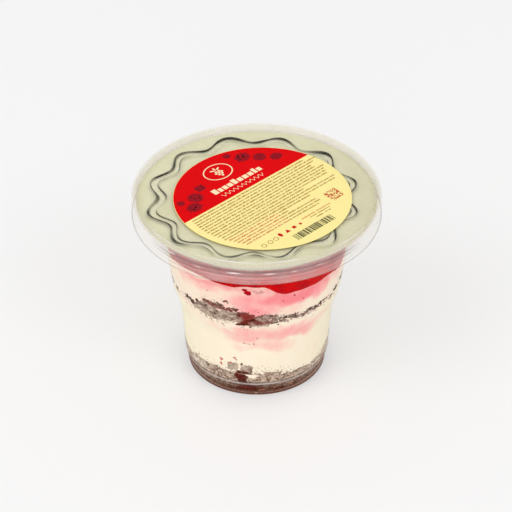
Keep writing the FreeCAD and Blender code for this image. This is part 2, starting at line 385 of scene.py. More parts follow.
def clear_plastic(name, tint, veil, fold_shade, stain, shine):
    """Thin clear plastic: light passes straight on, and the mirror's share is shine + 0.9 *
    (1 - cos)^5 times the mask mirror. The haze mask mixes in a milky veil and painted highlights,
    the crease mask paints dark lines of shade along folded edges, and the stain mask takes up
    the food's colour and also paints shade."""
    shade = Shade(name, Base_Color=veil, Roughness=0.5, IOR=1.46)
    facing = shade.add("LayerWeight", Blend=0.5).outputs["Facing"]
    steep = shade.sum("MULTIPLY_ADD", shade.sum("POWER", facing, 5), 0.9, shine)
    mirror = shade.sum("MULTIPLY", steep, shade.mask("mirror"))
    clear = shade.mix(shade.sum("POWER", facing, 4), tint, (251, 251, 248))
    stained = shade.mix(shade.mask("stain"), clear, stain)
    passing = shade.add("BsdfTransparent", Color=shade.mix(shade.mask("crease"), stained, fold_shade))
    gloss = shade.add("BsdfGlossy", Color=(252, 252, 252), Roughness=0.07)
    uneven = shade.between(shade.noise(9, 1), -0.6, 0.6, "LINEAR")
    veil_and_highlight = shade.sum("MULTIPLY", shade.mask("haze"), uneven)
    return shade.surfaced(shade.join(veil_and_highlight, shade.join(mirror, passing, gloss), shade.shader))


def cream_material(name, pale, rich, tinted, shadow):
    """Smooth cream: pale mottled with rich, tinted where the mask tint is, and turned to the colour
    shadow where the mask shade is: painted shadow and shade on the ivory and top creams, deeper pink on
    the pink cream.
    """
    shade = Shade(name, Roughness=0.42, Specular_IOR_Level=0.05)
    mask, height = shade.grain(13, 3.4, 1.3)
    tint = shade.between(shade.blurred("tint", 7, 4, 1.1), 0.05, 1.2)
    stained = shade.mix(tint, shade.mix(mask, pale, rich), tinted)
    return shade.coloured(shade.mix(shade.mask("shade"), stained, shadow), height, 0.12, 0.35)


def crumb_material(name, dark, light, wet, cream):
    """Crumbled biscuit: dark and light grains, darker where wet, and cream between them at gap."""
    shade = Shade(name, Specular_IOR_Level=0.05)
    mask, height = shade.grain(1.9, 0.7, 4.2)
    wetness = shade.mask("wet")
    soaked = shade.mix(wetness, shade.mix(mask, dark, light),
                       shade.mix(shade.sum("MULTIPLY", mask, 0.6), wet, dark))
    gap = shade.between(shade.blurred("gap", 1.6, 2, 1.2), 0.35, 0.65)
    shade.set(shade.shader, Roughness=shade.sum("MULTIPLY_ADD", wetness, -0.5, 0.8))
    return shade.coloured(shade.mix(gap, soaked, cream), height, 0.5, 0.8)


def loose_crumb_material(name, dark, light, wet):
    """Loose crumbs, each from dark to light by the mask tone, and wet where the mask wet is."""
    shade = Shade(name, Roughness=0.7, Specular_IOR_Level=0.05)
    mask, height = shade.grain(0.9, 0.35, 2)
    own = shade.mix(shade.mask("tone"), dark, light)
    mottled = shade.mix(shade.sum("MULTIPLY", mask, 0.45), own, dark)
    return shade.coloured(shade.mix(shade.mask("wet"), mottled, wet), height, 0.2, 0.6)


def jam_material(name, bright, deep, smeared):
    """Red jam, deeper where the mask deep is and smeared with cream where pale is."""
    shade = Shade(name, Roughness=0.2, Specular_IOR_Level=0.05)
    mask, height = shade.grain(6, 1.4, 1.6)
    mottled = shade.mix(shade.mask("deep"), shade.mix(mask, bright, deep), deep)
    return shade.coloured(shade.mix(shade.mask("pale"), mottled, smeared), height, 0.15, 0.3)


def print_material(name, ink, second, size=14):
    """Satin printed paper: an ink with a faint mottle of a second tone."""
    shade = Shade(name, Roughness=0.5, Specular_IOR_Level=0.03)
    mask, height = shade.grain(size, 0.5, 1.2)
    return shade.coloured(shade.mix(mask, ink, second), height, 0.02, 0.3)


# ---- the cup

def make_cup():
    """The clear cup: one thin wall from foot to rim, turned from its profile."""
    profile = spaced(rounded(CUP_OUTSIDE + CUP_INSIDE, 5), 2.4)
    rings = turned(profile)
    plastic = clear_plastic("cup_plastic", (254, 254, 252), (246, 238, 234), (120, 96, 84),
                            (168, 124, 104), 0.007)
    outer_face = (np.arange(len(profile)) < np.argmax(profile[:, 1] > RIM_TOP - 0.01))[:, None]
    radius, height = profile[:, :1], profile[:, 1:]
    collar = 0.1 * ramp(height, 73, 76)
    # A painted highlight along the foot's step.
    step_highlight = 0.72 * bell((height - 6.9) / 0.55) * outer_face
    ahead = 1 - ramp(np.abs(front_angle(rings)), 36, 60)
    # Painted shade: a dark line round the rim, darkest in front.
    rim_edge = bell((height - 82.3) / 0.4) * (radius > RIM_RADIUS - 1.2)
    foot = (1 - ramp(height, 1.5, 2.6)) * (radius > 26)
    piece = add_rings("clear_cup", rings, "cup_plastic", plastic, haze=np.maximum(collar, step_highlight),
                      crease=rim_edge * (0.05 + 0.4 * ahead), mirror=0.22 * outer_face, stain=foot)
    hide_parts("cup")


# ---- the lid

GROOVE_CENTRE = (-1.4, -0.9)
GROOVE_RADIUS = 41.6
GROOVE_OVAL = 0.02               # share by which the groove is longer along Y than across
GROOVE_WAVE = 2.4
GROOVE_LOBES = 12
GROOVE_DEPTH = 0.5
PANEL_RADIUS = 50.2
SKIRT_RADIUS = 52.3
BEAD = 81.0                      # height of the bead that snaps the skirt over the rim
BEAD_PROUD = 0.2
# Painted dark lines of shade round the skirt, darkest in front: height, half width, strength.
SKIRT_LINES = [(81.85, 0.3, 0.85), (79.75, 0.26, 0.7), (77.9, 0.2, 0.3)]
# Painted highlights on the bead and on the crown's front: degrees from the front, half width, height,
# strength.
BEAD_GLINTS = [
    (-10.2, 3.4, 81.1, 1), (5.6, 3, 81.1, 1), (17, 1.6, 81, 0.7), (-42, 2.6, 82.2, 0.9),
    (-27, 2.6, 80.7, 0.7), (29, 2, 81.3, 0.5),
]
CROWN_GLINTS = [
    (-12, 14, 0.95), (13, 10, 0.9), (46, 12, 0.6), (-50, 12, 0.6), (-170, 9, 1), (150, 14, 0.5),
    (-110, 9, 0.5),
]
# Where the groove is wider: degrees from the front, half width of the stretch, extra millimetres.
GROOVE_SPREADS = [(-90, 34, 1.3), (180, 60, 0.9), (42, 9, 2), (100, 14, 0.5)]
# Across each side wall of the groove: offset in shares of its band, depth, painted dark line of shade,
# painted highlight.
INNER_SIDE = [(-1.6, 0, 0, 0), (-0.9, 0.05, 0, 0), (-0.4, 0.35, 0.85, 0), (0.4, 0.9, 0.85, 0),
              (1, 1, 0, 0.15), (1.9, 1, 0, 0.3)]
OUTER_SIDE = [(-1.1, 1, 0, 0), (-0.5, 0.9, 1, 0), (0.15, 0.45, 1, 0), (0.5, 0.1, 0.9, 0),
              (0.9, 0, 0, 0), (1.5, 0, 0, 0)]


def groove_rings():
    """The lid's top sheet out to the panel's edge, and two masks for it: painted dark lines of shade
    along the groove, and painted highlights in it.

    The groove's middle line is radius - wave * cos(lobes * angle). Rings inside it shrink in
    proportion, and rings outside it blend into a circle.
    """
    angle = turns()
    circle = around(40, angle, 0)
    line = GROOVE_RADIUS * (1 - GROOVE_OVAL * np.cos(2 * angle)) + 0.25 * waves(circle, 17, 5)
    line = line - GROOVE_WAVE * np.cos(GROOVE_LOBES * angle)
    width = 2.2 + 0.25 * waves(circle, 9, 6)
    for at, reach, extra in GROOVE_SPREADS:
        width = width + extra * bell(angle_between(front_angle(circle), at) / reach)
    inner, outer = line - 0.55 * width, line + 0.45 * width
    thick = 1 + 0.55 * waves(circle, 11, 7)
    inner_band = np.clip(0.36 * thick[::-1], 0.2, 0.6)
    outer_band = np.clip(0.62 * thick, 0.28, 1.25)
    rows = [(share * (inner - 1.2), 0, 0, 0) for share in np.linspace(0, 1, 16)[:-1]]
    for start, band, side in ((inner, inner_band, INNER_SIDE), (outer, outer_band, OUTER_SIDE)):
        rows += [(start + offset * band, *marks) for offset, *marks in side]
    radius, drop, crease, glint = (np.array([part + 0 * angle for part in column])
                                   for column in zip(*rows))
    rings = around(radius, angle, PANEL_TOP - GROOVE_DEPTH * drop, GROOVE_CENTRE)
    outwards = around(PANEL_RADIUS, angle, PANEL_TOP) - rings[-1]
    shares = np.linspace(0, 1, 7)[1:, None, None]
    rings = np.concatenate([rings, rings[-1] + shares * outwards])
    flat = np.zeros((len(shares), AROUND))
    strength = np.clip(0.9 + 0.35 * waves(circle, 12, 8), 0.45, 1)
    shine = np.clip(0.5 + 0.5 * waves(circle, 10, 9), 0, 1)
    return rings, np.vstack([crease, flat]) * strength, np.vstack([glint, flat]) * shine


def make_lid():
    """The clear lid: scalloped panel, raised crown, skirt and lip, as one thin closed sheet."""
    panel, crease, glint = groove_rings()
    crown, skirt, proud, lip = PANEL_RADIUS + 0.2, SKIRT_RADIUS, SKIRT_RADIUS + BEAD_PROUD, LIP_RADIUS
    low, under, top = LIP_BOTTOM, PANEL_TOP - SHEET, LID_TOP
    outside = spaced(rounded([
        (lip - 0.7, low, 0), (lip - 0.35, low, 0), (lip, low, 0.15), (lip, low + 0.4, 0.15),
        (skirt, low + 0.7, 0.15), (skirt, BEAD - 0.7, 0.2), (proud, BEAD - 0.3, 0.2),
        (proud, BEAD + 0.3, 0.2), (skirt, BEAD + 0.7, 0.2), (skirt, top, 0.65), (crown, top, 0.5),
        (PANEL_RADIUS, PANEL_TOP, 0.3), (PANEL_RADIUS - 0.5, PANEL_TOP, 0)], 8), 0.35)[:-1]
    inside = spaced(rounded([
        (PANEL_RADIUS - 0.1, under, 0), (PANEL_RADIUS + SHEET, under, 0.3),
        (crown + SHEET, top - SHEET, 0.3), (skirt - SHEET, top - SHEET, 0.25),
        (skirt - SHEET, low + 0.1, 0.1), (lip - 0.7, low, 0)], 8), 1.2)
    inner = np.concatenate([panel[:-1] - (0, 0, SHEET), turned(inside[1:-1])])
    rings = np.concatenate([inner, turned(outside), panel[::-1]])
    elsewhere = np.zeros((len(rings) - len(panel), AROUND))
    creases, glints = np.vstack([elsewhere, crease[::-1]]), np.vstack([elsewhere, glint[::-1]])
    radius, height = np.hypot(rings[..., 0], rings[..., 1]), rings[..., 2]
    front = front_angle(rings)
    outer_face = (np.arange(len(rings)) >= len(inner))[:, None]
    outer_skirt = radius > skirt - 0.1
    veil = ramp(radius, 51.4, 51.9) * (1 - ramp(height, 84.5, 85.8))
    crown_veil = ramp(radius, 50.3, 50.8)
    ahead = 1 - ramp(np.abs(front), 34, 58)
    # Painted shade: dark lines along the groove, along the lip's bottom edge and round the skirt, darkest
    # in front.
    fold_shades = np.maximum(creases, 0.45 * bell((height - low) / 0.25) * outer_skirt)
    for level, half_width, strength in SKIRT_LINES:
        line = strength * bell((height - level) / half_width) * (0.05 + 0.95 * ahead)
        fold_shades = np.maximum(fold_shades, line * outer_skirt)
    # The collar under the crown gets painted shade, a darker mauve-grey, strongest in front.
    collar = ramp(height, 79.6, 80.2) * (1 - ramp(height, 82.6, 83.4))
    shine = 0 * height
    # Painted highlights on the bead and round the crown, mixed into the milky veil.
    for at, half_width, level, strength in BEAD_GLINTS:
        across = strength * bell(angle_between(front, at) / half_width)
        shine = np.maximum(shine, across * bell((height - level) / 0.34) * outer_skirt)
    for at, half_width, strength in CROWN_GLINTS:
        across = strength * bell(angle_between(front, at) / half_width)
        shine = np.maximum(shine, across * bell((radius - 51.4) / 0.42) * (height > top - 0.2))
    plastic = clear_plastic("lid_plastic", (254, 254, 252), (250, 243, 240), (48, 44, 28),
                            (184, 170, 166), 0.03)
    piece = add_rings("clear_lid", rings, "lid_plastic", plastic, crease=fold_shades * (1 - shine),
                      haze=np.maximum(0.01 + 0.05 * crown_veil + 0.11 * veil + glints, shine),
                      mirror=outer_face * (1 - 0.5 * crown_veil),
                      stain=0.55 * collar * outer_skirt * ahead)
    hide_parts("lid")


# ---- the food

INSIDE_LINE = rounded(CUP_INSIDE)[::-1]


def wall_radius(height):
    """The cup's inner radius at a height, a little into its wall."""
    rising = INSIDE_LINE[INSIDE_LINE[:, 0] > 20]
    return np.interp(height, rising[:, 1], rising[:, 0]) + INTO_WALL


# Where each boundary between two layers meets the wall: degrees from the front, height.
BASE_LINE = [
    (-150, 14), (-110, 12.2), (-69, 10.8), (-56, 12.2), (-44, 13), (-30, 13.9), (-26, 12.6), (-17, 13),
    (-6, 12.6), (3, 13.6), (11, 13.6), (19, 12.6), (29, 9.8), (34, 10.6), (42, 9.2), (49, 9.2), (59, 11),
    (66, 12.8), (90, 14.4), (120, 13.8),
]
CRUMB_UNDERSIDE = [
    (-150, 43.4), (-100, 43.8), (-87, 45), (-72, 43.4), (-55, 43.2), (-45, 44), (-38, 43.4), (-31, 42.6),
    (-23, 42.8), (-14, 43.4), (-9, 41.9), (2, 41.8), (9, 42.6), (18, 43), (25, 42.5), (40, 42.4),
    (49, 43.8), (58, 43.4), (65, 45.8), (75, 46.6), (90, 46), (140, 45),
]
CRUMB_TOP = [
    (-150, 46.8), (-100, 46.4), (-87, 46.4), (-72, 44.7), (-55, 44.9), (-47, 45.8), (-42, 48),
    (-37, 49.9), (-32, 51.8), (-26, 52), (-23, 51), (-17, 50.6), (-14, 49.6), (-8, 48.6), (0, 46.6),
    (5, 47.9), (12, 46.9), (24, 46.8), (30, 46.1), (38, 46.2), (47, 45.4), (56, 44.9), (65, 47.1),
    (75, 47.8), (90, 47.3), (110, 47), (150, 48.6),
]
JAM_UNDERSIDE = [
    (-150, 62), (-100, 61), (-80, 60.2), (-68, 61), (-60, 62.3), (-48, 63.6), (-38, 64.2), (-27, 63.4),
    (-15, 62.9), (-10, 63.9), (6, 63.8), (10, 61.2), (17, 59), (40, 59), (51, 59.7), (57, 59), (67, 57.8),
    (82, 60.5), (130, 62),
]
JAM_TOP = [(-120, 72.2), (0, 72.4), (120, 72)]


def boundary(line, ragged, length, seed):
    """A boundary's height as a function of radius and angle: the line's mean, plus its rise above
    the mean at the wall times the radius share squared, plus ragged noise."""
    angles, heights = np.array(line).T
    fine = np.arange(-180, 180, 0.5)
    stepped = np.interp(fine, angles, heights, period=360)
    window = np.hanning(19)
    padded = np.concatenate([stepped[-9:], stepped, stepped[:9]])
    smooth = np.convolve(padded, window / window.sum(), "valid")

    def height(radius, angle):
        place = around(radius, angle, 0)
        rise = np.interp(front_angle(place), fine, smooth, period=360) - smooth.mean()
        noise = waves(place, length, seed) + 0.6 * waves(place, length / 3, seed)
        return smooth.mean() + rise * np.clip(radius / NECK, 0, 1.1) ** 2 + ragged * noise

    return height


def level(height):
    """A flat boundary."""
    return lambda radius, angle: height + 0 * angle


FIRST_GUESS = 35                 # at the wall's radius, which four steps make exact
CORNER = 0.998                   # a ring this far out keeps the corner at the wall crisp


def layer_rings(below, above, side_steps, top_steps):
    """The rings of one layer: out along its underside, up the wall, and in over its top."""
    angle = turns()
    edges = []
    for bound in (below, above):
        height = bound(FIRST_GUESS, angle)
        for _ in range(4):
            radius = wall_radius(height)
            height = bound(radius, angle)
        edges.append((radius, height))
    (low_radius, low), (high_radius, high) = edges
    rings = [around(share * low_radius, angle, below(share * low_radius, angle))
             for share in (*np.linspace(0, 1, 9)[:-1], CORNER)]
    for share in np.linspace(0, 1, side_steps):
        height = low + share * (high - low)
        rings.append(around(wall_radius(height), angle, height))
    rings += [around(share * high_radius, angle, above(share * high_radius, angle))
              for share in (CORNER, *np.linspace(1, 0, top_steps)[1:])]
    return np.array(rings)


def reach(front, height, spot):
    """The way from a spot's middle to a place on the wall, in shares of its half sizes."""
    at, up, half_angle, half_height = spot[:4]
    return np.hypot(angle_between(front, at) / half_angle, (height - up) / half_height)


def smears(spots, seed):
    """Soft smears as a function of points. Each falls from its strength to nothing between 0.3 and
    1.5 of its half sizes, after slow waves have moved every point sideways and up."""
    def mask(points):
        bend = 8 * waves(points, 17, seed) + 2.5 * waves(points, 6, seed + 1)
        lift = 1.5 * waves(points, 15, seed + 2) + 0.5 * waves(points, 5, seed + 3)
        front, height = front_angle(points) + bend, points[..., 2] + lift
        return np.max([spot[4] * (1 - ramp(reach(front, height, spot), 0.3, 1.5))
                       for spot in spots], axis=0)

    return mask


# Smears: degrees from the front, height, half sizes, strength.
PINK_BELOW = [
    (28, 35.5, 30, 5, 0.95), (-2, 35.5, 28, 5.2, 0.85), (8, 28.8, 26, 4.6, 0.6), (-26, 38, 26, 4.6, 0.45),
    (150, 35, 40, 5, 0.6), (-140, 30, 30, 5, 0.4),
]
PINK_ABOVE = [
    (-38, 59.5, 24, 5, 0.62), (-2, 53, 24, 8, 0.9), (32, 56, 30, 5.4, 1), (-12, 61.5, 44, 3.2, 0.7),
    (60, 60, 20, 4, 0.6), (-75, 61.5, 22, 4, 0.4), (150, 57, 50, 6, 0.9), (-130, 60, 40, 5, 0.8),
]
PINK_DEEP = [(26, 56.6, 20, 2.8, 0.9), (-30, 62.4, 26, 1.6, 0.5), (0, 49.6, 12, 2.4, 0.4)]
JAM_DEEP = [
    (-34, 64, 22, 3.6, 0.8), (66, 66, 16, 5, 0.6), (-62, 65.5, 22, 2.2, 0.9), (180, 66, 60, 6, 0.8),
]
JAM_PALE = [(-55, 70.5, 40, 3, 0.8), (0, 69.5, 50, 2.2, 0.6), (46, 70.5, 40, 2.8, 0.9)]
WET_BASE = [(-11, 10, 6, 5, 0.9)]
WET_MIDDLE = [(-5, 45.4, 9, 3.6, 1), (6, 45, 8, 2.4, 0.6), (-25, 51.4, 7, 1.6, 0.6)]
# Where cream stands out between the crumbs, in the same terms.
CREAM_BETWEEN = [
    (-18, 49.6, 3.4, 1, 0.7), (-25, 48.6, 3, 0.8, 0.5), (10.5, 46, 2.6, 0.8, 0.6),
    (-36, 46.4, 4, 0.7, 0.35), (2.8, 47.6, 2.4, 0.7, 0.6),
]


def shaded_sides(points):
    """Painted shade: the share of yellower cream, strongest at the sides and the back."""
    side = ramp(np.abs(front_angle(points)), 30, 80)
    return 0.75 * side * (0.8 + 0.2 * waves(points, 25, 71))


def between_crumbs(points):
    """Where the thin crumb layer lets cream show: at both sides, along its underside, in spots."""
    front, height = front_angle(points), points[..., 2]
    right = ramp(front, 0, 17) * (1 - ramp(front, 95, 120))
    left = (1 - ramp(front, -50, -42)) * ramp(front, -120, -95)
    angles, heights = np.array(CRUMB_UNDERSIDE).T
    fringe = 1 - ramp(height - np.interp(front, angles, heights, period=360), 0.2, 2.4)
    gap = np.maximum(0.12 + 0.34 * fringe, 0.9 * np.maximum(right, left))
    return gap + sum(spot[4] * bell(reach(front, height, spot)) for spot in CREAM_BETWEEN)


def paler_sides(points):
    """Where the base crumb turns paler, towards cream: at both sides, above the foot."""
    front = np.abs(front_angle(points))
    side = ramp(front, 24, 52) * (1 - ramp(front, 100, 130))
    return 0.05 + 0.45 * side * ramp(points[..., 2], 6.2, 7.6)


def soaked_foot(points):
    """How wet the base crumb is: at the drip and in the foot, most of all in front."""
    low = 1 - ramp(points[..., 2] + 0.4 * waves(points, 9, 22), 6, 7.4)
    ahead = bell(front_angle(points) / 22)
    deepest = 1 - ramp(points[..., 2], 2.2, 5)
    foot = low * (0.5 + 0.4 * ahead + 0.35 * deepest).clip(0, 1)
    return np.maximum(smears(WET_BASE, 20)(points), foot)


def print_shadow(points):
    """The label's soft painted shadow on the cream, to the front left, and painted shade on the cream at
    the right.
    """
    shifted = points[..., :2] - LABEL_CENTRE[:2] - (-4.7, -3.9)
    disc = 1 - ramp(np.hypot(shifted[..., 0], shifted[..., 1]), LABEL_RADIUS - 1,
                            LABEL_RADIUS + 0.6)
    radius = np.hypot(points[..., 0], points[..., 1])
    right_shade = bell(angle_between(front_angle(points), 92) / 46) * ramp(radius, 38, 46)
    return 0.15 * disc + 0.4 * right_shade


IVORY = (251, 240, 222)


def make_food():
    """The six layers, each up to the boundary that the next one starts from."""
    base_line = boundary(BASE_LINE, 0.35, 5, 31)
    under_crumb = boundary(CRUMB_UNDERSIDE, 0.45, 4, 32)
    over_crumb = boundary(CRUMB_TOP, 0.65, 3.2, 33)
    under_jam = boundary(JAM_UNDERSIDE, 0.12, 6, 34)
    over_jam = boundary(JAM_TOP, 0.12, 8, 35)
    cream = cream_material("ivory_cream", IVORY, (250, 236, 214), (253, 174, 175), (250, 241, 210))
    pink = cream_material("pink_cream", (251, 236, 218), (250, 228, 210), (254, 162, 168),
                          (248, 136, 144))
    top = cream_material("top_cream", (236, 233, 206), (225, 222, 188), (206, 202, 172),
                         (208, 199, 172))
    base = crumb_material("moist_crumb", (120, 94, 80), (216, 190, 172), (84, 40, 24),
                          (236, 222, 208))
    middle = crumb_material("dry_crumb", (132, 104, 90), (210, 188, 170), (134, 44, 38),
                            (250, 226, 210))
    jam = jam_material("red_jam", (224, 0, 0), (174, 0, 16), (216, 120, 126))
    for node, slot, material, below, above, side_steps, top_steps, masks in (
            ("base_crumb", "dark_crumb", base, level(1.7 - INTO_WALL), base_line, 36, 9,
             {"wet": soaked_foot, "gap": paler_sides}),
            ("lower_cream", "cream", cream, base_line, under_crumb, 80, 9,
             {"tint": smears(PINK_BELOW, 27), "shade": shaded_sides}),
            ("middle_crumb", "grey_crumb", middle, under_crumb, over_crumb, 24, 9,
             {"wet": smears(WET_MIDDLE, 34), "gap": between_crumbs}),
            ("upper_cream", "pink_cream", pink, over_crumb, under_jam, 60, 9,
             {"tint": smears(PINK_ABOVE, 41), "shade": smears(PINK_DEEP, 45)}),
            ("jam", "jam", jam, under_jam, over_jam, 40, 9,
             {"deep": smears(JAM_DEEP, 48), "pale": smears(JAM_PALE, 52)}),
            ("top_cream", "top_cream", top, over_jam, level(CREAM_TOP), 40, 44,
             {"tint": 0, "shade": print_shadow})):
        rings = layer_rings(below, above, side_steps, top_steps)
        piece = add_rings(node + "_layer", rings, slot, material, **masks)
        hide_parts(node)
    make_crumbs(base_line, under_crumb, over_crumb)
    make_dabs()


# ---- loose crumbs and drops

def on_wall(front, height, depth):
    """Points on the cup's inner wall: degrees from the front, a height, and depth further out."""
    return around(wall_radius(height) + depth, np.radians(front) - math.pi / 2, height)


def joined(parts):
    """Several (points, faces) pairs as one."""
    points, faces, first = [], [], 0
    for some_points, some_faces in parts:
        points.append(some_points)
        faces.extend((np.asarray(face) + first).tolist() for face in some_faces)
        first += len(some_points)
    return np.vstack(points), faces


def twenty_sided():
    """A twenty-sided ball: corners at two poles and in two rings of five, half a step apart."""
    here = np.arange(5)
    turn = np.radians(72 * here)
    up, wide = 1 / math.sqrt(5), 2 / math.sqrt(5)
    corners = np.vstack([[[0, 0, 1]], around(wide, turn, up),
                         around(wide, turn + math.radians(36), -up), [[0, 0, -1]]])
    after, none = (here + 1) % 5, 0 * here
    faces = [np.stack(corner, -1) for corner in (
        (none, 1 + here, 1 + after), (1 + here, 6 + here, 1 + after),
        (1 + after, 6 + here, 6 + after), (6 + here, 11 + none, 6 + after))]
    return corners, np.vstack(faces)


def add_crumbs(name, slot, material, rows, wetness, rng):
    """Crumbs pressed on the wall: balls with their corners moved in or out, turned at random.

    A unit quaternion w, q turns a corner v to v + 2 w (q x v) + 2 q x (q x v). Along the wall a
    crumb has its size, inwards two thirds of it, and out of the food it stands at most 0.2 mm.
    """
    front, height, size, tone = rows
    corners, faces = twenty_sided()
    count = len(front)
    tone = np.clip(tone + 0.35 * waves(on_wall(front, height, 0), 3.4, 15), 0, 1)
    quaternion = rng.normal(size=(4, count))
    w, *q = quaternion / np.linalg.norm(quaternion, axis=0)
    q = np.stack(q, -1)[:, None]
    once = np.cross(q, corners)
    shape = corners + 2 * (w[:, None, None] * once + np.cross(q, once))
    shape *= rng.uniform(0.6, 1.25, (count, len(corners), 1))
    shape[..., 0] *= rng.uniform(0.8, 1.5, (count, 1))
    scale = size[:, None]
    out = np.where(shape[..., 2] > 0, 0.14 * shape[..., 2], 0.65 * shape[..., 2] * scale)
    across = front[:, None] + np.degrees(shape[..., 0] * scale / NEAR_FOOT)
    points = on_wall(across, height[:, None] + shape[..., 1] * scale, out).reshape(-1, 3)
    first = np.arange(count)[:, None, None] * len(corners)
    piece = add_piece(name, points, (first + faces).reshape(-1, 3).tolist(), slot, material, False)
    paint(piece, tone=np.repeat(tone, len(corners)), wet=wetness(points))


def clumped(rng, clumps):
    """Places, sizes and tones of crumbs scattered about the middles of clumps by their spread,
    0.25 to 0.8 mm large, mostly small, from dark up to each clump's tone."""
    found = []
    for at, up, wide, high, count, light in clumps:
        front = at + np.degrees(wide * rng.normal(size=count) / GIRTH)
        height = up + high * rng.normal(size=count)
        size = 0.25 + 0.55 * rng.random(count) ** 1.6
        found.append(np.stack([front, height, size, rng.uniform(0, light, count)]))
    return np.hstack(found)


def strewn(rng, low_line, high_line, rows):
    """Places, sizes and tones of crumbs strewn between two boundaries."""
    found = []
    for count, start, end, low, high, scatter, small, large, dark, light in rows:
        front = rng.uniform(start, end, count)
        angle = np.radians(front) - math.pi / 2
        bottom, top = low_line(GIRTH, angle), high_line(GIRTH, angle)
        height = bottom + rng.uniform(low, high, count) * (top - bottom)
        height = height + scatter * rng.normal(size=count)
        size = small + (large - small) * rng.random(count) ** 2.2
        found.append(np.stack([front, height, size, rng.uniform(dark, light, count)]))
    return np.hstack(found)


# Crumbs: count, first and last degree, lowest and highest share of the way between the boundaries,
# scatter, least and largest size, darkest and lightest tone.
MIDDLE_ROWS = [
    (420, -46, 12, 0.1, 1, 0.2, 0.2, 0.75, 0.4, 1), (190, -44, 14, 0.86, 1.12, 0.35, 0.2, 0.7, 0, 0.5),
    (230, -47, 14, -0.2, 0.15, 0.45, 0.12, 0.42, 0.4, 1),
    (56, -12, 16, -0.1, 1.1, 0.4, 0.25, 0.8, 0, 0.4), (60, 12, 44, 0, 1.1, 0.35, 0.18, 0.6, 0.1, 0.8),
    (24, 44, 66, 0, 1, 0.35, 0.18, 0.5, 0, 0.6), (1100, 94, 262, 0, 1, 0.2, 0.2, 0.75, 0.1, 0.9),
    (500, 94, 262, 0.8, 1.15, 0.3, 0.2, 0.65, 0, 0.4), (60, 78, 96, 0, 1.1, 0.4, 0.2, 0.65, 0, 0.5),
    (60, 260, 280, 0, 1.1, 0.4, 0.2, 0.65, 0, 0.5), (60, -60, 20, 1.2, 1.8, 0.5, 0.12, 0.3, 0, 0.5),
    (26, -60, 60, -0.8, -0.2, 0.4, 0.12, 0.3, 0, 0.5),
]
# Clumps in the thin layer: degrees from the front, height, spread sideways and up, count, tone.
MIDDLE_CLUMPS = [
    (-83, 47.4, 0.8, 0.8, 8, 0.3), (-76, 46.4, 1, 1.1, 14, 0.3), (-66, 45.6, 0.9, 0.7, 12, 0.4),
    (-53, 47.6, 1.1, 0.6, 18, 0.4), (-47.5, 46.6, 1, 0.8, 34, 0.25), (-40.5, 48.6, 0.9, 0.5, 18, 0.35),
    (-33, 51.4, 1.5, 0.5, 30, 0.3), (-25, 51.4, 1.2, 0.6, 34, 0.2), (-20, 54.8, 0.4, 0.35, 6, 0.1),
    (-29, 46.6, 1.2, 0.6, 14, 0.5), (-14, 51, 0.8, 0.5, 12, 0.3), (-9.5, 48.6, 1.2, 0.6, 26, 0.2),
    (-5.5, 46.6, 1.2, 1.2, 34, 0.1), (-1, 45.2, 0.9, 0.9, 20, 0.3), (6.5, 47.9, 1.2, 0.35, 20, 0.4),
    (3.5, 43.8, 1.2, 0.5, 20, 0.5), (9, 43.8, 1, 0.5, 18, 0.5), (14.5, 45.2, 1.6, 0.8, 36, 0.6),
    (18.5, 44.2, 0.9, 0.6, 18, 0.3), (24, 45.4, 1.1, 0.8, 26, 0.4), (28, 44.4, 0.7, 0.6, 14, 0.4),
    (33, 44.8, 1.1, 0.5, 20, 0.4), (38, 45.6, 0.8, 0.5, 18, 0.2), (43, 45.2, 0.9, 0.6, 18, 0.3),
    (48, 46.2, 0.9, 0.4, 16, 0.3), (53, 46.2, 0.8, 0.3, 10, 0.4), (59, 45.4, 0.6, 0.3, 7, 0.4),
    (65.5, 46.8, 1, 0.9, 16, 0.3), (73, 48.6, 0.9, 0.9, 14, 0.3), (80, 47.6, 0.8, 0.7, 8, 0.3),
]
BASE_ROWS = [
    (420, -44, 44, 0.4, 1, 0.2, 0.18, 0.6, 0.2, 1), (750, 90, 270, 0.4, 1, 0.2, 0.18, 0.6, 0.1, 0.95),
    (560, -180, 180, 0.92, 1.05, 0.35, 0.15, 0.5, 0.1, 0.8),
    (420, -180, 180, 0.72, 1.02, 0.4, 0.15, 0.5, 1, 1), (300, -96, -38, 0.1, 1, 0.3, 0.15, 0.5, 0.75, 1),
    (300, 38, 96, 0.1, 1, 0.3, 0.15, 0.5, 0.75, 1),
    (120, -23, -15, 1.08, 1.42, 0.35, 0.35, 0.95, 0.6, 0.9),
    (120, -12, -4, 1, 1.4, 0.35, 0.35, 0.95, 0.5, 0.9),
    (110, -60, 60, 1.02, 1.3, 0.5, 0.12, 0.34, 0.1, 0.6),
]


def make_crumbs(base_line, under_crumb, over_crumb):
    """The loose crumbs of both crumb layers, against the wall."""
    rng = np.random.default_rng(11)
    dry = loose_crumb_material("loose_dry_crumbs", (88, 60, 50), (222, 200, 184), (138, 48, 44))
    moist = loose_crumb_material("loose_moist_crumbs", (98, 72, 60), (226, 206, 190), (106, 58, 40))
    middle = np.hstack([strewn(rng, under_crumb, over_crumb, MIDDLE_ROWS), clumped(rng, MIDDLE_CLUMPS)])
    add_crumbs("middle_crumbs", "grey_crumb", dry, middle, smears(WET_MIDDLE, 34), rng)
    base = strewn(rng, level(1.7), base_line, BASE_ROWS)
    add_crumbs("base_crumbs", "dark_crumb", moist, base, soaked_foot, rng)


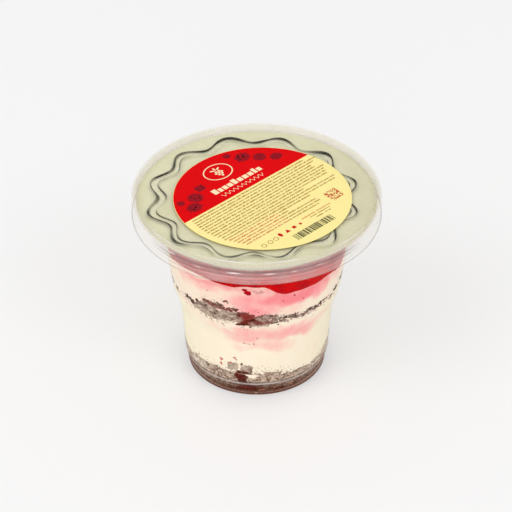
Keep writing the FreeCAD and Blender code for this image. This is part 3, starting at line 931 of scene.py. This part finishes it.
def dab(front, height, half_width, half_height, uneven, seed):
    """A drop pressed on the wall: points and faces of a lens with an uneven outline.

    The outline's radius is 1 plus uneven times three sine waves; its faces are domed by
    sqrt(1 - share^2), to 0.5 mm deep in the food and 0.16 mm proud of it.
    """
    rng = np.random.default_rng(seed)
    angle = turns(28)
    outline = 1
    for lobes, phase in zip((2, 3, 5), rng.uniform(0, 2 * math.pi, 3)):
        outline = outline + uneven * np.sin(lobes * angle + phase) / math.sqrt(lobes)
    rings = []
    for share, side in ((0, -0.5), (0.5, -0.5), (0.9, -0.5), (1, 0), (0.9, 0.16), (0.6, 0.16),
                        (0.3, 0.16), (0, 0.16)):
        across = front + np.degrees(share * half_width * outline * np.cos(angle) / NEAR_FOOT)
        up = height + share * half_height * outline * np.sin(angle)
        rings.append(on_wall(across, up, side * math.sqrt(1 - share * share)))
    return skin(np.array(rings))


# Drops and marks on the wall: degrees from the front, height, half width, half height, unevenness.
JAM_DABS = [
    (-7.6, 62.2, 0.9, 0.8, 0.15), (-5.6, 60.7, 1.25, 1.25, 0.12), (24.5, 57.2, 0.4, 0.36, 0.2),
    (17, 55.4, 0.25, 0.25, 0.2), (31, 54, 0.25, 0.3, 0.2), (-19.6, 55.2, 0.3, 0.35, 0.3),
    (-33, 57.8, 0.3, 0.25, 0.2), (120, 58, 1.2, 0.9, 0.3), (-150, 57, 0.8, 1.1, 0.3),
]
SYRUP_DABS = [
    (-12.4, 10.4, 2.9, 2.4, 0.14), (-11.2, 7.6, 2.2, 2.2, 0.12), (-9.5, 13.2, 3.4, 0.9, 0.35),
    (-14.2, 13.4, 1.2, 0.8, 0.3), (-7.5, 4, 5, 1.7, 0.22), (-9, 43, 2.2, 1.4, 0.35),
    (-3.5, 45.2, 2.6, 0.9, 0.4), (-12, 47.6, 0.9, 0.7, 0.3),
]
# The last three russet dabs, low on the foot, are painted highlights on the wet crumb.
RUSSET_DABS = [
    (-28.4, 18.4, 0.75, 0.9, 0.25), (-28.8, 15.9, 0.5, 1, 0.25), (-17.2, 20.9, 0.8, 0.45, 0.3),
    (-15.8, 20, 0.45, 0.35, 0.3), (-20.5, 17.8, 0.9, 0.4, 0.3), (4.5, 2.7, 1.5, 0.28, 0.2),
    (15, 3.6, 0.6, 0.2, 0.3), (30, 3.2, 0.7, 0.25, 0.3),
]
MAUVE_DABS = [
    (-9.4, 30.1, 0.6, 0.5, 0.3), (-6, 29.8, 1.1, 0.24, 0.2), (-2.2, 29.9, 0.5, 0.6, 0.3),
    (0.4, 33.6, 0.5, 0.4, 0.3), (2.2, 61.1, 1.6, 0.7, 0.35), (-1, 61.6, 0.8, 0.4, 0.3),
]
CREAM_DABS = [
    (-3.8, 11.4, 2.3, 1.5, 0.35), (-24, 13.4, 2.4, 0.8, 0.35), (3.8, 13.4, 1.5, 0.7, 0.3),
    (-40, 14, 1.8, 0.6, 0.35), (22, 11.8, 1.6, 0.6, 0.3), (60, 12, 2, 0.8, 0.3), (-60, 13, 1.6, 0.7, 0.3),
]


def make_dabs():
    """Drops of jam, syrup and cream, faint marks and a few painted highlights, one piece for each kind.
    """
    for name, slot, rows, bright, deep in (
            ("jam_drops", "jam", JAM_DABS, (196, 4, 22), (150, 10, 34)),
            ("russet_marks_and_highlights", "cream", RUSSET_DABS, (212, 138, 126), (186, 100, 90)),
            ("syrup_drips", "dark_crumb", SYRUP_DABS, (104, 36, 26), (72, 26, 18)),
            ("mauve_marks", "pink_cream", MAUVE_DABS, (226, 168, 164), (206, 140, 142)),
            ("cream_dabs", "cream", CREAM_DABS, IVORY, (246, 232, 210))):
        points, faces = joined(dab(*row, seed=60 + index) for index, row in enumerate(rows))
        piece = add_piece(name, points, faces, slot, jam_material(name, bright, deep, IVORY))
        paint(piece, deep=0, pale=0)


# ---- the label

PAPER = LABEL_HIGH[2]
PRINT_TURN = math.radians(44.6)  # the lines of print rise to the right, towards the back
FIELD_EDGE = 9.0                 # the red field lies above this line across the label
PRINT_MARGIN = 3.0
LINE_PITCH = 1.7
STROKE_PITCH = 0.56
THIN, RAISED = 0.012, 0.024      # how far an ink stands on the paper, and on another ink


def on_label(flat, above):
    """Points on the label from u along its lines of print and v across them."""
    u, v = flat[..., 0], flat[..., 1]
    cos, sin = math.cos(PRINT_TURN), math.sin(PRINT_TURN)
    x, y = LABEL_CENTRE[0] + cos * u - sin * v, LABEL_CENTRE[1] + sin * u + cos * v
    return np.stack(np.broadcast_arrays(x, y, PAPER + above), -1)


def prisms(outlines, above=THIN):
    """Closed prisms over outlines in (u, v), from just inside the paper to above it."""
    count, sides, _ = outlines.shape
    points = np.stack([on_label(outlines, -0.01), on_label(outlines, above)], axis=1).reshape(-1, 3)
    first = np.arange(count) * 2 * sides
    lid = first[:, None] + np.arange(sides)
    return points, quads(first, first + sides, sides) + (lid + sides).tolist() + lid[:, ::-1].tolist()


def boxes(u, v, width, height):
    """Outlines of upright rectangles about their middles."""
    u, v, width, height = np.broadcast_arrays(*np.atleast_1d(u, v, width, height))
    sides = [(-0.5, -0.5), (0.5, -0.5), (0.5, 0.5), (-0.5, 0.5)]
    return np.stack([np.stack([u + a * width, v + b * height], -1) for a, b in sides], axis=-2)


def ovals(u, v, wide, high, sides, turn=0):
    """Outlines of ellipses about their middles, turned by an angle."""
    u, v, wide, high, turn = (part[:, None] for part in
                              np.broadcast_arrays(*np.atleast_1d(u, v, wide, high, turn)))
    across, along = wide * np.cos(turns(sides)), high * np.sin(turns(sides))
    return np.stack([u + np.cos(turn) * across - np.sin(turn) * along,
                     v + np.sin(turn) * across + np.cos(turn) * along], -1)


def hoop(u, v, wide, high, thick, sides, above=THIN):
    """A closed flat ring between two ovals."""
    outer, inner = ovals(u, v, wide, high, sides), ovals(u, v, wide - thick, high - thick, sides)
    loops = [on_label(line[0], up) for line, up in ((outer, -0.01), (outer, above), (inner, above),
                                                    (inner, -0.01))]
    first = np.arange(4) * sides
    return np.vstack(loops), quads(first, np.roll(first, -1), sides)


def written_lines():
    """Rows of upright strokes that look like small print from afar, and which are reddish: groups of
    two to nine from edge to edge of the paper below the red field, one stroke in four taller."""
    rng = np.random.default_rng(5)
    rows = []
    for row in range(17):
        v = 7.5 - LINE_PITCH * row
        half = math.sqrt((LABEL_RADIUS - PRINT_MARGIN) ** 2 - v * v)
        u, end = -half + rng.uniform(0, 0.8), half - rng.uniform(0, 3)
        if -22 < v < -12.5:
            end = min(end, 15 + rng.uniform(-2, 1))
        if row in (9, 13):
            end -= rng.uniform(12, 18)
        while u < end:
            for _ in range(rng.integers(2, 10)):
                tall = rng.random() < 0.25
                rows.append((u, v + 0.12 * tall, rng.uniform(0.34, 0.5), 0.6 + 0.26 * tall, row))
                u += STROKE_PITCH
            u += 0.42
    for row, (v, start, end) in enumerate(((-22.9, 0.5, 17), (-24.4, 4, 16), (-26, 6, 14))):
        for u in np.arange(start, end, STROKE_PITCH):
            if rng.random() > 0.14:
                rows.append((u, v, rng.uniform(0.3, 0.46), 0.5 + 0.2 * (rng.random() < 0.25), row))
    strokes = np.array(rows)
    reddish = (strokes[:, 4] > 11) & (strokes[:, 0] < -4) | (strokes[:, 4] < 1) & (strokes[:, 1] < -20)
    return boxes(*strokes[:, :4].T), reddish


def berry(u, v, size, seed):
    """A round berry as drupelets in rows: small discs within an uneven circle."""
    rng = np.random.default_rng(seed)
    step = 0.37 * size
    places = np.array([(i * step + (j % 2) * step / 2, j * step * 0.87)
                       for i in range(-4, 5) for j in range(-4, 5)])
    places = places[np.hypot(places[:, 0], places[:, 1] * 1.1) < size * rng.uniform(0.9, 1.05)]
    places = places + rng.normal(scale=0.05 * size, size=places.shape) + (u, v)
    return ovals(*places.T, 0.19 * size, 0.19 * size, 10)


BERRIES = [
    (-25.6, 14.4, 3.2), (-20.4, 19.2, 3.4), (-14.2, 23, 2.2), (-27.6, 20.4, 1.8), (14.8, 27.4, 3.3),
    (20.4, 22.4, 2.9), (25.8, 17.8, 2.6), (10.6, 32.4, 1.8),
]


def heading_blocks():
    """A row of plain upright blocks, some taller, and a thin waved line below them."""
    rng = np.random.default_rng(9)
    u, rows = -12.8, []
    for index in range(10):
        width = rng.uniform(1.7, 2.5)
        tall = index in (0, 4, 8)
        rows.append((u + width / 2, 16 + 0.5 * tall, width, 2.5 + 1.0 * tall))
        u += width + 0.6
    along = np.linspace(-11.4, 12.6, 120)
    wave = 12.2 + 0.8 * np.sin(along * 2 * math.pi / 2.4)
    line = np.concatenate([np.stack([along, wave - 0.22], -1), np.stack([along, wave + 0.22], -1)[::-1]])
    return boxes(*np.array(rows).T), line[None]


def make_print():
    """Everything printed on the label, one piece for each ink and kind."""
    inks = {name: print_material(name + "_ink", *tones) for name, *tones in (
        ("red", (230, 0, 8), (222, 0, 6)), ("cream", (255, 238, 196), (252, 230, 184)),
        ("maroon", (150, 20, 34), (128, 22, 36), 5), ("olive", (178, 128, 62), (158, 112, 52)),
        ("rust", (212, 112, 72), (198, 98, 60)), ("black", (70, 70, 48), (58, 58, 40)),
        ("scarlet", (214, 34, 30), (190, 26, 26)), ("dark_red", (192, 10, 20), (178, 10, 22)))}

    def put(name, ink, *parts):
        add_piece(name, *joined(parts), "label_paper", inks[ink], False)

    edge = LABEL_RADIUS - 0.15
    start = math.asin(FIELD_EDGE / edge)
    arc = np.linspace(start, math.pi - start, 120)
    put("red_field", "red", prisms(edge * np.stack([np.cos(arc), np.sin(arc)], -1)[None]))

    blocks, line = heading_blocks()
    sprig = np.array([(0, 0.6), (-0.8, 1.8), (0.8, 1.8), (0, 2.9), (-1.6, 3), (1.6, 3), (-0.8, 4),
                      (0.8, 4)]) + (-0.3, 22.9)
    leaves = ovals((-1.9, -0.3, 1.3), (28.5, 29, 28.5), 1.15, 0.42, 12,
                   np.array([-0.5, 1.5708, 0.5]) + math.pi)
    put("cream_marks", "cream",
        *(prisms(part, RAISED) for part in (blocks, line, ovals(*sprig.T, 0.62, 0.6, 12), leaves)),
        hoop(-0.3, 26.6, 7, 5.6, 0.5, 72, RAISED))

    dots = np.concatenate([berry(*row, 80 + index) for index, row in enumerate(BERRIES)])
    put("maroon_berries", "maroon", prisms(dots, 0.02))
    u, v, size = np.array(BERRIES).T
    put("berry_shadows", "dark_red", prisms(ovals(u, v, size * 1.12, size, 24), 0.016))

    strokes, reddish = written_lines()
    put("small_print", "olive", prisms(strokes[~reddish]))
    put("rust_print", "rust", prisms(strokes[reddish]))

    rng = np.random.default_rng(21)
    cell = 6.8 / 13
    across, along = (np.argwhere(rng.random((13, 13)) < 0.56) - 6).T * cell
    put("chequered_square", "rust", prisms(boxes(22.7 + across, -19.5 + along, cell * 0.98, cell * 0.98)))

    widths = rng.choice([0.3, 0.45, 0.8], 34)
    left = -11 + np.concatenate([[0], np.cumsum(widths + rng.choice([0.2, 0.35, 0.6], 34))[:-1]])
    stripes = boxes(left + widths / 2, -30.4, widths, 4)
    put("stripe_block", "black", prisms(stripes[left < 11]))

    put("red_signs", "scarlet", prisms(ovals(-14, -24.6, 0.85, 1.4, 16)),
        prisms(np.array([[(-11.2, -25.6), (-8.6, -25.6), (-9.9, -23.4)]])),
        prisms(boxes(-6, -24.6, 1.7, 1.7)), prisms(ovals(-2.4, -24.7, 0.7, 0.7, 12)))
    put("small_circles", "olive", *(hoop(u, -25.3, 1.2, 1.2, 0.3, 20) for u in (-24, -20.4, -17.2)))


def make_label():
    """The round paper label, turned from its thin profile, and its print."""
    profile = spaced(rounded([(0, PANEL_TOP, 0), (LABEL_RADIUS, PANEL_TOP, 0.05),
                              (LABEL_RADIUS, PAPER, 0.05), (0, PAPER, 0)], 4), 3)
    rings = turned(profile) + (*LABEL_CENTRE[:2], 0)
    paper = print_material("label_paper", (255, 242, 164), (255, 236, 156))
    piece = add_rings("paper_label", rings, "label_paper", paper)
    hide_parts("label")
    make_print()


# ---- camera, lamps and floor

FLOOR_REACH = 4000               # from the middle of the floor to its sides
FLOOR_GLOW = 0.4                 # share of its own light in what shows of the floor


def make_floor():
    """A plain pale floor that keeps the shadow and shows partly by its own light."""
    shade = Shade("pale_floor", Roughness=0.6)
    shade.set(shade.shader, Base_Color=shade.mix(shade.noise(400, 1), (250, 250, 250), (252, 252, 252)))
    path = shade.add("LightPath").outputs
    seen = shade.sum("MAXIMUM", path["Is Camera Ray"], path["Is Glossy Ray"])
    seen = shade.sum("MAXIMUM", seen, path["Is Transmission Ray"])
    glow = shade.add("Emission", Color=(246, 245, 245))
    pale = shade.surfaced(shade.join(shade.sum("MULTIPLY", seen, FLOOR_GLOW), shade.shader, glow))
    corners = np.array([(-1, -1, 0), (1, -1, 0), (1, 1, 0), (-1, 1, 0)]) * FLOOR_REACH
    floor = put_in_scene("floor", new_mesh("floor", corners, [(0, 1, 2, 3)], pale))
    floor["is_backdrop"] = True


def make_lights():
    """An even sky and three soft lamps, at a level that keeps colours true."""
    sky = bpy.data.worlds.new("even_sky")
    sky.use_nodes = True
    Nodes(sky.node_tree).set(sky.node_tree.nodes["Background"], Color=(252, 252, 252), Strength=0.78)
    scene.world = sky
    scene.cycles.transparent_max_bounces = 32    # the thin walls stand many deep
    for name, place, side, watts in (("left_softbox", (-1.3, -0.9, 1.7), 1.2, 10.0),
                                     ("right_softbox", (1.1, -1.2, 1.5), 0.8, 5.6),
                                     ("front_softbox", (-0.2, -2.4, 0.8), 1.2, 6.6)):
        lamp = bpy.data.lights.new(name, "AREA")
        lamp.shape = "SQUARE"
        lamp.size = side
        lamp.energy = watts
        holder = put_in_scene(name, lamp)
        holder.location = place
        aim = Vector((0, 0, 0.06)) - holder.location
        holder.rotation_euler = aim.to_track_quat("-Z", "Y").to_euler()


def make_camera():
    """A long lens 36 degrees above level, aimed at the middle of the cup."""
    height, distance, tilt = 0.0522, 1.1074, math.radians(36)
    lens = bpy.data.cameras.new("view")
    lens.sensor_width = 36.0
    lens.lens = 182.8
    lens.clip_start = 0.05
    camera = put_in_scene("view", lens)
    camera.location = (-0.0003, -distance * math.cos(tilt), height + distance * math.sin(tilt))
    camera.rotation_euler = (math.pi / 2 - tilt, 0, 0)
    bpy.context.scene.camera = camera


make_camera()
make_floor()
make_lights()
make_cup()
make_lid()
make_food()
make_label()
bpy.context.scene.view_settings.view_transform = "Standard"


def plain(box):
    return [[float(number) for number in corner] for corner in box]


{"cad": plain(cad_box), "visual": plain(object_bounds())}
